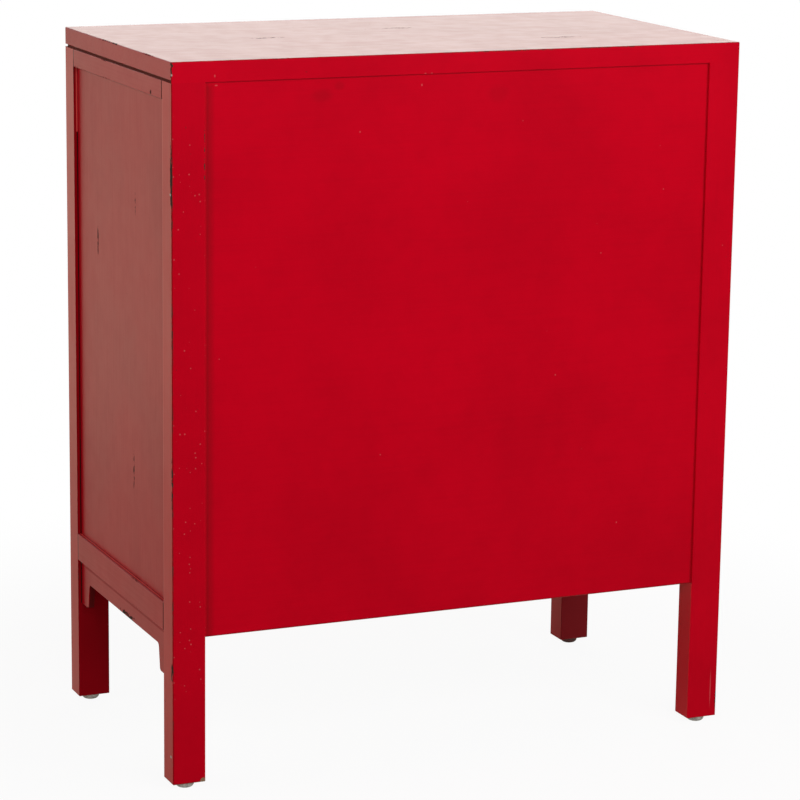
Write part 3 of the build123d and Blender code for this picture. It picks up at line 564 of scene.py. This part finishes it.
def lacquer(
    name, low, high, grain, marks, wear=0.3, worn=(), bare=(), glints=(), flecks=(), smudges=(),
    specks=0.02, speck_zone=(0.0, 1.0), border=0.9, glaze_share=0.55, ior=1.31,
):
    """Red lacquer on one board, with a dark glaze along its borders, partly painted shade at its joints,
    and worn chips along its edges.
    """
    graph = material_graph(name)
    clouds = graph.noise(cloud_scales, detail=4.0)
    mottle = graph.noise(mottle_scales, detail=3.0)
    fibres = graph.noise(along_grain(grain, *fibre_scales), detail=2.0)
    fine = graph.noise(along_grain(grain, *fine_scales), detail=1.0)
    depth = graph.step(clouds, *cloud_span, high=cloud_depth)
    depth = graph.math("ADD", depth, graph.step(mottle, *mottle_span, high=mottle_depth))
    depth = graph.math("ADD", depth, graph.step(fibres, *fibre_span, high=fibre_depth))
    colour = graph.blend(depth, lacquer_red, lacquer_deep)

    edge = edge_distance(graph, low, high)
    ragged = graph.noise(along_grain(grain, *ragged_scales), detail=4.0, roughness=0.6)
    narrowest, widest = glaze_narrowest * border * millimetre, glaze_widest * border * millimetre
    glaze_reach = graph.step(ragged, *ragged_span, narrowest, widest)
    glaze = graph.step(graph.math("DIVIDE", edge, glaze_reach), 1.0, glaze_core, high=glaze_share)
    # The border glaze darkens every edge, and is painted shade at joints and recessed borders
    colour = graph.blend(glaze, colour, glaze_and_shade_dark)

    flakes = graph.noise(flake_scales, detail=5.0, roughness=0.75)
    patches = graph.noise(wear_scales, detail=2.0)
    rim = graph.step(edge, *chip_span)
    gain = wear_gain * wear
    held = graph.math("MULTIPLY", rim, graph.step(patches, wear_start - gain, wear_full - gain))
    chips = [graph.math("MULTIPLY", held, graph.step(flakes, *flake_span))]
    slivers = graph.noise(along_grain(grain, *sliver_scales), detail=3.0, roughness=0.6)
    for centre, reach, strength in worn:
        torn = graph.math("MULTIPLY", patch(graph, centre, reach), worn_gain * strength)
        chips.append(graph.step(graph.math("ADD", slivers, torn), *sliver_span))
    chipped = graph.strongest(chips)
    rough_places = chipped
    for one in marks:
        cover, colour = cover_with(graph, one, colour)
        if one.tone in (dark_joint_and_shade, groove_painted_shade):
            rough_places = graph.math("MAXIMUM", rough_places, cover)
    for centre, reach, strength in smudges:
        smudged = graph.math("MULTIPLY", patch(graph, centre, reach), strength)
        colour = graph.blend(smudged, colour, glaze_and_shade_dark)
    colour = graph.blend(chipped, colour, chip_dark)
    for centre, reach in bare:
        split = graph.math("ADD", flakes, patch(graph, centre, reach))
        colour = graph.blend(graph.step(split, *bare_span), colour, chip_wood)

    cell_sockets = {"Vector": graph.spot, "Scale": cell_scale, "Randomness": 1.0}
    cells = graph.put("ShaderNodeTexVoronoi", cell_sockets).outputs
    chance = graph.put("ShaderNodeSeparateColor", {0: cells["Color"]}).outputs[0]
    crowd = graph.noise(crowd_scales, shift=crowd_shift, detail=2.0)
    rare = graph.math("MULTIPLY", chance, graph.step(crowd, *crowd_span, crowd_least, 1.0))
    size = graph.step(rare, 1.0 - specks, 1.0 - specks / 3, high=speck_size)
    dots = graph.step(graph.math("SUBTRACT", cells["Distance"], size), 0.0, -speck_border)
    zone_low, zone_high = speck_zone
    zone = inside(graph, (-beyond, -beyond, zone_low), (beyond, beyond, zone_high), speck_zone_border)
    dots = graph.math("MULTIPLY", dots, graph.math("MULTIPLY", zone, speck_share))
    colour = graph.blend(dots, colour, speck_pale)
    for centre, reach in flecks:
        fleck = graph.math("MULTIPLY", patch(graph, centre, reach), fleck_share)
        colour = graph.blend(fleck, colour, speck_pale)
    # Glints are painted highlights
    for centre, reach in glints:
        colour = graph.blend(patch(graph, centre, reach), colour, glint_pale)

    rough = graph.step(fibres, *sheen_span, sheen_smoothest, sheen_roughest)
    rough = graph.math("ADD", rough, graph.step(mottle, *sheen_mottle_span, high=sheen_mottle))
    rough = graph.math("ADD", rough, graph.math("MULTIPLY", rough_places, bare_roughness))
    fine_part = graph.math("MULTIPLY", fine, fine_relief)
    relief = graph.math("ADD", fine_part, graph.math("MULTIPLY", fibres, fibre_relief))
    relief = graph.math("SUBTRACT", relief, graph.math("MULTIPLY", chipped, chip_relief))
    normal = graph.bump(relief, lacquer_bump, lacquer_bump_depth)
    return graph.finish(colour, rough, normal, IOR=ior, Specular_Tint=lacquer_tint)


# Patterns of the bare wood

drift_scales = (7.0, 1.2)
wood_fibre_scales = (600.0, 14.0)
pore_scales = (1400.0, 60.0)
ring_count = 9.0
ring_span = (0.05, 0.5)
ring_depth = 0.45
wood_fibre_span = (0.35, 0.7)
wood_fibre_depth = 0.35
pore_span = (0.6, 0.75)
pore_depth = 0.3
wood_sheen_span = (0.3, 0.7)
wood_smoothest = 0.55
wood_roughest = 0.72
wood_bump = 0.3
wood_bump_depth = 0.1 * millimetre
wood_ior = 1.45


def bare_wood(name, grain):
    """Plain planed wood with its growth rings, for the inside of the case and the drawers."""
    graph = material_graph(name)
    drift = graph.noise(along_grain(grain, *drift_scales), detail=3.0)
    fibres = graph.noise(along_grain(grain, *wood_fibre_scales), detail=3.0)
    pores = graph.noise(along_grain(grain, *pore_scales), detail=2.0)
    rings = graph.math("FRACT", graph.math("MULTIPLY", drift, ring_count))
    rings = graph.step(graph.math("ABSOLUTE", graph.math("SUBTRACT", rings, 0.5)), *ring_span)
    fibre_tone = graph.step(fibres, *wood_fibre_span, high=wood_fibre_depth)
    tone = graph.math("ADD", graph.math("MULTIPLY", rings, ring_depth), fibre_tone)
    tone = graph.math("ADD", tone, graph.step(pores, *pore_span, high=pore_depth))
    colour = graph.blend(tone, wood_pale, wood_dark)
    rough = graph.step(fibres, *wood_sheen_span, wood_smoothest, wood_roughest)
    normal = graph.bump(fibres, wood_bump, wood_bump_depth)
    return graph.finish(colour, rough, normal, IOR=wood_ior)


# Patterns of the metal

tarnish_scales = (240.0, 240.0, 240.0)
tarnish_span = (0.38, 0.66)
tarnish_rough_span = (0.35, 0.7)
brushed_along = 180.0
brushed_roughness = 0.08
metal_bump = 0.25
metal_bump_depth = 0.08 * millimetre


def aged_metal(name, bright, dull, brushed_across, smoothest, roughest, metallic=1.0, marks=()):
    """Handled metal: bright where it is rubbed, dull and rough in its tarnish."""
    graph = material_graph(name)
    tarnish = graph.noise(tarnish_scales, detail=5.0, roughness=0.65)
    brushed = graph.noise((brushed_across, brushed_across, brushed_along), detail=2.0)
    colour = graph.blend(graph.step(tarnish, *tarnish_span), bright, dull)
    # Marks paint shade on the metal
    for one in marks:
        colour = cover_with(graph, one, colour)[1]
    rough = graph.step(tarnish, *tarnish_rough_span, smoothest, roughest)
    rough = graph.math("ADD", rough, graph.math("MULTIPLY", brushed, brushed_roughness))
    normal = graph.bump(graph.math("ADD", tarnish, brushed), metal_bump, metal_bump_depth)
    return graph.finish(colour, rough, normal, Metallic=metallic)


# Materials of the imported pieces

def longest_axis(low, high):
    spans = [high[i] - low[i] for i in range(3)]
    return "XYZ"[spans.index(max(spans))]


# How far a board's box runs on where a neighbour carries its face on
joined_reach = 0.05


def visible_box(node):
    """A board's box without its tenons and tongues, and run on at its flush joints."""
    low, high = (Vector(corner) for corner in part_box(node))
    if node.startswith("side_"):
        low.y = max(low.y, post_front_y)
        high.y = min(high.y, post_back_y)
    if node.startswith("side_panel"):
        low.z = bottom_rail_top
        high.z = top_rail_low
    if node.startswith("side_apron"):
        high.z = bottom_rail_low
    if node.startswith("front_") or node == "back_panel":
        low.x = max(low.x, -inner_x)
        high.x = min(high.x, inner_x)
    if node == "back_panel":
        high.x += joined_reach
        high.z = slab_low + joined_reach
    if node.startswith("post_"):
        high.z += joined_reach
    if node.startswith("post_back"):
        low.y -= joined_reach
        if low.x > 0:
            low.x -= joined_reach
        else:
            high.x += joined_reach
    if node == "top_slab":
        low.z -= joined_reach
    if node.startswith("door_") and node.endswith(("_rail", "_panel")):
        door = "_".join(node.split("_")[:2])
        stiles = [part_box(f"{door}_{kind}_stile") for kind in ("hinge", "meeting")]
        low.x = min(stile[1].x for stile in stiles)
        high.x = max(stile[0].x for stile in stiles)
        if node.endswith("_panel"):
            low.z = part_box(f"{door}_bottom_rail")[1].z
            high.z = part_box(f"{door}_top_rail")[0].z
    return low, high


looks = {
    "post_back_right": {
        "wear": 0.6,
        "specks": 0.85,
        "speck_zone": (0.10, 0.86),
        "worn": corner_chips,
        "bare": [leg_corner_chip],
        "glints": [corner_glint, leg_glint],
        "border": 2.0,
        "glaze_share": 0.45,
        "ior": 1.33,
    },
    "post_front_right": {"ior": 1.33},
    "post_back_left": {
        "wear": 0.4,
        "specks": 0.06,
        "worn": [leg_wear],
        "flecks": [leg_streak],
        "ior": 1.33,
    },
    "post_front_left": {"wear": 0.4, "ior": 1.33},
    "top_slab": {"wear": 0.45, "worn": top_wear, "flecks": slab_flecks, "glints": [slab_glint]},
    "side_top_rail_right": {"worn": [rail_nick]},
    "side_apron_right": {"wear": 0.4, "worn": apron_nicks, "border": 0.6},
    "side_apron_left": {"wear": 0.4, "border": 0.6},
    "front_apron": {"wear": 0.4, "border": 0.6},
    "side_panel_right": {"worn": panel_streaks, "specks": 0.0, "border": 1.6, "ior": 1.29},
    "side_panel_left": {"specks": 0.0, "border": 1.6, "ior": 1.29},
    "back_panel": {
        # Its wide border glaze is painted shade in the panel's recess
        "border": 3.0,
        "glaze_share": 0.26,
        "flecks": panel_flecks,
        "smudges": panel_smudges,
    },
}
forced_grain = {"back_panel": "X"}


def slots_by_node():
    """The material slot that the record gives to each node."""
    return {part["node"]: part["material_slot"] for part in frame["record"]["subparts"]}


def dress(node, material):
    """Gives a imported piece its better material."""
    slots = frame["nodes"][node].data.materials
    if len(slots) == 0:
        slots.append(material)
    for i in range(len(slots)):
        slots[i] = material


def dress_packed_pieces(brass, steel):
    woods = {axis: bare_wood(f"bare_wood_along_{axis.lower()}", axis) for axis in grain_axes}
    slots = slots_by_node()
    for node in frame["nodes"]:
        low, high = visible_box(node)
        grain = forced_grain.get(node, longest_axis(low, high))
        slot = slots[node]
        if slot == "brass":
            dress(node, brass)
        elif slot == "glide_steel":
            dress(node, steel)
        elif slot == "bare_wood":
            dress(node, woods[grain])
        else:
            look = looks.get(node, {})
            dress(node, lacquer(f"red_lacquer_{node}", low, high, grain, marks_of(node), **look))


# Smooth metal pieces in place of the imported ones. The ends of their arcs are in degrees.

turned_sides = 48
ring_steps = 96
ring_sides = 20
sharp_angle = math.radians(35.0)
rosette_radius = 9.0 * millimetre
rosette_thickness = 2.5 * millimetre
rosette_rim_end = 75.0
rosette_rim_steps = 5
shoulder_rise = 0.2 * millimetre
flare_steps = 5
neck_end = 150.0
neck_steps = 3
stem_radius = 3.0 * millimetre
ball_radius = 5.2 * millimetre
ball_offset = 12.0 * millimetre
ball_hole_radius = 3.0 * millimetre
ball_start = -50.0
ball_end = 86.0
ball_steps = 18
ring_wire_radius = 2.2 * millimetre
glide_radius = 11.5 * millimetre
glide_height = 8.5 * millimetre
glide_ease = 5.0 * millimetre
glide_steps = 10
screw_radius = 2.6 * millimetre
screw_height = 0.35 * millimetre
screw_slot_width = 0.7 * millimetre
screw_slot_floor = 0.4 * screw_height
screw_side_height = 0.5 * screw_height
screw_face_radius = 0.8 * screw_radius
screw_first_turn = math.radians(35.0)
screw_next_turn = math.radians(50.0)
screw_spread = 17.0 * millimetre
screw_inset = 9.0 * millimetre
hinge_half_height = 25.0 * millimetre


def body_of(node):
    """The body that carries a node."""
    for body, nodes in frame["record"]["behaviour"]["bodies"].items():
        if node in nodes:
            return body


def smoothed(mesh):
    """The same mesh, shaded smooth between its sharp edges."""
    mesh.shade_smooth()
    mesh.set_sharp_from_angle(angle=sharp_angle)
    return mesh


def smooth_mesh(name, points, faces):
    mesh = bpy.data.meshes.new(name)
    mesh.from_pydata(points, [], faces)
    mesh.update()
    return smoothed(mesh)


def turned_mesh(name, profile):
    """A turned piece along +Z from its heights and radii, closed at both ends."""
    points = []
    for height, radius in profile:
        for i in range(turned_sides):
            turn = math.tau * i / turned_sides
            points.append((radius * math.cos(turn), radius * math.sin(turn), height))
    faces = [tuple(reversed(range(turned_sides)))]
    last = (len(profile) - 1) * turned_sides
    for start in range(0, last, turned_sides):
        above = start + turned_sides
        for i in range(turned_sides):
            after = (i + 1) % turned_sides
            faces.append((start + i, start + after, above + after, above + i))
    faces.append(tuple(range(last, last + turned_sides)))
    return smooth_mesh(name, points, faces)


def arc(middle, radius, start, end, steps):
    """Heights and radii round an arc of a profile, from one tilt to another in degrees."""
    tilts = [math.radians(start + (end - start) * i / steps) for i in range(steps + 1)]
    return [(middle[0] + radius * math.sin(t), middle[1] + radius * math.cos(t)) for t in tilts]


def piece_of(name, mesh, material, body):
    """A new piece of the scene, made of brass or steel, that moves with a body."""
    piece = bpy.data.objects.new(name, mesh)
    bpy.context.scene.collection.objects.link(piece)
    mesh.materials.clear()
    mesh.materials.append(material)
    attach(piece, body)
    return piece


def cut_mesh(name, mesh, cutter_mesh):
    """A mesh with another one cut out of it."""
    whole = bpy.data.objects.new(name, mesh)
    cutter = bpy.data.objects.new(f"{name}_cutter", cutter_mesh)
    for thing in (whole, cutter):
        bpy.context.scene.collection.objects.link(thing)
    cut = whole.modifiers.new("cut", "BOOLEAN")
    cut.object = cutter
    cut.solver = "EXACT"
    shapes = bpy.context.evaluated_depsgraph_get()
    result = bpy.data.meshes.new_from_object(whole.evaluated_get(shapes))
    for thing in (whole, cutter):
        bpy.data.objects.remove(thing)
    result.name = name
    return smoothed(result)


def pull_post_mesh():
    """A rosette, a waisted stem and a ball with a cross hole, along +Z from the wood."""
    rim = rosette_thickness / 3
    rim_middle = (rosette_thickness - rim, rosette_radius - rim)
    shoulder = rosette_thickness + shoulder_rise
    flare = (ball_offset - ball_radius - shoulder) / 2
    waist = (shoulder + flare, stem_radius + flare)
    profile = [(0.0, rosette_radius)]
    profile += arc(rim_middle, rim, 0.0, rosette_rim_end, rosette_rim_steps)
    profile += arc(waist, flare, -90.0, -180.0, flare_steps)
    profile += arc(waist, flare, 180.0, neck_end, neck_steps)[1:]
    profile += arc((ball_offset, 0.0), ball_radius, ball_start, ball_end, ball_steps)
    post = turned_mesh("pull_post", profile)
    reach = 2 * ball_radius
    hole = turned_mesh("pull_post_hole", [(-reach, ball_hole_radius), (reach, ball_hole_radius)])
    hole.transform(Matrix.Translation((0.0, 0.0, ball_offset)) @ Matrix.Rotation(math.pi / 2, 4, "Y"))
    return cut_mesh("pull_post_drilled", post, hole)


def ring_mesh(low, high):
    """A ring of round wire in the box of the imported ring."""
    middle = (low + high) / 2
    radius = (high.x - low.x) / 2 - ring_wire_radius
    points = []
    faces = []
    for step in range(ring_steps):
        turn = math.tau * step / ring_steps
        here = step * ring_sides
        ahead = (step + 1) % ring_steps * ring_sides
        for side in range(ring_sides):
            roll = math.tau * side / ring_sides
            reach = radius + ring_wire_radius * math.cos(roll)
            depth = ring_wire_radius * math.sin(roll)
            spot = Vector((reach * math.cos(turn), depth, reach * math.sin(turn)))
            points.append(tuple(middle + spot))
            after = (side + 1) % ring_sides
            faces.append((here + side, here + after, ahead + after, ahead + side))
    return smooth_mesh("pull_ring", points, faces)


def make_pulls(brass):
    """The smooth ring pulls of the doors and drawers."""
    post = pull_post_mesh()
    for front in ("door_right", "door_left", "drawer_right", "drawer_left"):
        low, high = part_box(f"{front}_pull_post")
        middle = (low + high) / 2
        face_y = low.y + ball_offset + ball_radius
        stand = Matrix.Translation((middle.x, face_y, middle.z)) @ Matrix.Rotation(math.pi / 2, 4, "X")
        mesh = post.copy()
        mesh.transform(stand)
        piece = piece_of(f"{front}_turned_post", mesh, brass, body_of(f"{front}_pull_post"))
        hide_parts(f"{front}_pull_post")
        mesh = ring_mesh(*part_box(f"{front}_pull_ring"))
        piece = piece_of(f"{front}_wire_ring", mesh, brass, body_of(f"{front}_pull_ring"))
        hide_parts(f"{front}_pull_ring")


def joined_mesh(name, meshes):
    """One mesh of several."""
    points = []
    faces = []
    for mesh in meshes:
        start = len(points)
        points += [tuple(vertex.co) for vertex in mesh.vertices]
        faces += [tuple(start + index for index in face.vertices) for face in mesh.polygons]
    return smooth_mesh(name, points, faces)


def make_glides(steel):
    """The four smooth domed glides."""
    rim_middle = (glide_ease, glide_radius - glide_ease)
    profile = arc(rim_middle, glide_ease, -90.0, 0.0, glide_steps)
    profile.append((glide_height, glide_radius))
    glide = turned_mesh("glide", profile)
    copies = []
    for post in ("post_front_right", "post_front_left", "post_back_right", "post_back_left"):
        low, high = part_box(post)
        middle = (low + high) / 2
        copy = glide.copy()
        copy.transform(Matrix.Translation((middle.x, middle.y, 0.0)))
        copies.append(copy)
    mesh = joined_mesh("domed_glides", copies)
    piece = piece_of("domed_glides", mesh, steel, body_of("floor_glides"))
    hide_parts("floor_glides")


def screw_mesh():
    """A flat screw head with a slot, along +Z."""
    sides = [(0.0, screw_radius), (screw_side_height, screw_radius)]
    head = turned_mesh("screw_head", [*sides, (screw_height, screw_face_radius)])
    reach = 2 * screw_radius
    half = screw_slot_width / 2
    heights = (screw_slot_floor, reach)
    points = [(x, y, z) for x in (-reach, reach) for y in (-half, half) for z in heights]
    faces = [(0, 1, 3, 2), (4, 6, 7, 5), (0, 4, 5, 1), (2, 3, 7, 6), (0, 2, 6, 4), (1, 5, 7, 3)]
    slot = smooth_mesh("screw_slot", points, faces)
    return cut_mesh("screw_head_slotted", head, slot)


def make_screws(brass):
    """Three screws in each leaf of the hinges."""
    head = screw_mesh()
    for body, sides in (("case", (1, -1)), ("door_right", (1,)), ("door_left", (-1,))):
        copies = []
        for side in sides:
            name = "right" if side > 0 else "left"
            leaves_low, leaves_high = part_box(f"door_{name}_hinge_leaves")
            hinge_levels = (leaves_low.z + hinge_half_height, leaves_high.z - hinge_half_height)
            plane = inner_x
            facing = -side
            if body != "case":
                plane = max(abs(corner.x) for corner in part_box(f"door_{name}_hinge_stile"))
                facing = side
            turn = Matrix.Rotation(facing * math.pi / 2, 4, "Y")
            for centre in hinge_levels:
                for step, offset in enumerate((-screw_spread, 0.0, screw_spread)):
                    twist = Matrix.Rotation(screw_first_turn + screw_next_turn * step, 4, "Z")
                    spot = (side * plane, case_low.y + screw_inset, centre + offset)
                    copy = head.copy()
                    copy.transform(Matrix.Translation(spot) @ turn @ twist)
                    copies.append(copy)
        mesh = joined_mesh(f"{body}_hinge_screws", copies)
        piece = piece_of(f"{body}_hinge_screws", mesh, brass, body)


# Stage, lights and camera

def make_floor():
    """A plain pale floor that keeps the cabinet's shadow."""
    half = floor_side / 2
    mesh = bpy.data.meshes.new("studio_floor")
    corners = [(-half, -half), (half, -half), (half, half), (-half, half)]
    mesh.from_pydata([(x, y, 0.0) for x, y in corners], [], [(0, 1, 2, 3)])
    floor = bpy.data.objects.new("studio_floor", mesh)
    bpy.context.scene.collection.objects.link(floor)
    graph = material_graph("studio_floor_white")
    camera, mirrored = graph.background_rays()
    grey = graph.blend(camera, floor_bounce, (floor_seen,) * 3)
    lit = graph.put("ShaderNodeBsdfDiffuse", {"Color": grey}).outputs[0]
    white = graph.blend(camera, mirrored_floor, (1.0, 1.0, 1.0))
    glow = graph.put("ShaderNodeEmission", {"Color": white, "Strength": 1.0}).outputs[0]
    away = graph.vector("LENGTH", graph.spot, graph.spot)
    seen = graph.math("MULTIPLY", camera, graph.step(away, seen_near, seen_far, floor_glow, 1.0))
    lit_away = graph.step(away, mirrored_near, mirrored_far, mirrored_least, 1.0)
    lit_under = graph.step(away, under_near, under_far, under_least, 1.0)
    reflected = graph.math("MULTIPLY", mirrored, graph.math("MULTIPLY", lit_away, lit_under))
    share = graph.math("MAXIMUM", seen, reflected)
    shader = graph.put("ShaderNodeMixShader", {0: share, 1: lit, 2: glow}).outputs[0]
    output = graph.put("ShaderNodeOutputMaterial")
    graph.tree.links.new(shader, output.inputs["Surface"])
    mesh.materials.append(graph.owner)


def make_world():
    """A white surround to look at, and a plain soft fill to light with, weaker from straight above."""
    world = bpy.data.worlds.new("studio")
    bpy.context.scene.world = world
    graph = Graph(world)
    camera, mirrored = graph.background_rays()
    fill = graph.step(graph.parts(graph.way)[2], 0.0, 1.0, level_fill, zenith_fill)
    strength = graph.strongest([camera, mirrored, fill])
    white = graph.blend(mirrored, (1.0, 1.0, 1.0), mirrored_wall)
    background = graph.put("ShaderNodeBackground", {"Color": white, "Strength": strength})
    output = graph.put("ShaderNodeOutputWorld")
    graph.tree.links.new(background.outputs[0], output.inputs["Surface"])


def aimed(spot, target):
    """A transform at the spot with -Z towards the target."""
    turn = (target - spot).to_track_quat("-Z", "Y")
    return Matrix.Translation(spot) @ turn.to_matrix().to_4x4()


def soft_box(name, spot, target, width, height, power, colour=(1.0, 1.0, 1.0)):
    light = bpy.data.lights.new(name, "AREA")
    light.shape = "RECTANGLE"
    light.size = width
    light.size_y = height
    light.energy = power
    light.color = colour
    lamp = bpy.data.objects.new(name, light)
    bpy.context.scene.collection.objects.link(lamp)
    lamp.matrix_world = aimed(spot, target)
    lamp.visible_camera = False


def make_lights():
    middle = (cad_low + cad_high) / 2
    top = Vector((0.0, 0.0, slab_top))
    side = Vector((half_width, 0.0, slab_top))
    key_spot = middle + key_way.normalized() * key_distance
    soft_box("key_light", key_spot, middle, key_width, key_height, key_power)
    soft_box("rim_light", rim_spot, top, rim_width, rim_height, rim_power, rim_colour)
    soft_box("fill_light", fill_spot, side, fill_width, fill_height, fill_power)


def make_camera():
    data = bpy.data.cameras.new("photograph_view")
    data.sensor_fit = "HORIZONTAL"
    data.sensor_width = camera_sensor
    data.lens = camera_lens
    camera = bpy.data.objects.new("photograph_view", data)
    bpy.context.scene.collection.objects.link(camera)
    camera.matrix_world = aimed(camera_spot, camera_target) @ Matrix.Rotation(camera_roll, 4, "Z")
    bpy.context.scene.camera = camera


brass = aged_metal(
    "aged_brass", brass_bright, brass_dull, brushed_across=900.0, smoothest=0.26, roughest=0.52
)
# The glide under the front left leg is painted dark red: painted shade and a painted reflection of the
# red leg
painted_glide_shade = mark((-beyond,) * 3, (0.0, 0.0, beyond), glide_shade_red, 0.95)
steel = aged_metal(
    "glide_steel_worn", steel_bright, steel_dull, brushed_across=700.0, smoothest=0.42, roughest=0.60,
    metallic=0.35, marks=[painted_glide_shade],
)
dress_packed_pieces(brass, steel)
make_pulls(brass)
make_glides(steel)
make_screws(brass)
make_floor()
make_world()
make_lights()
make_camera()
bpy.context.scene.view_settings.view_transform = "Standard"
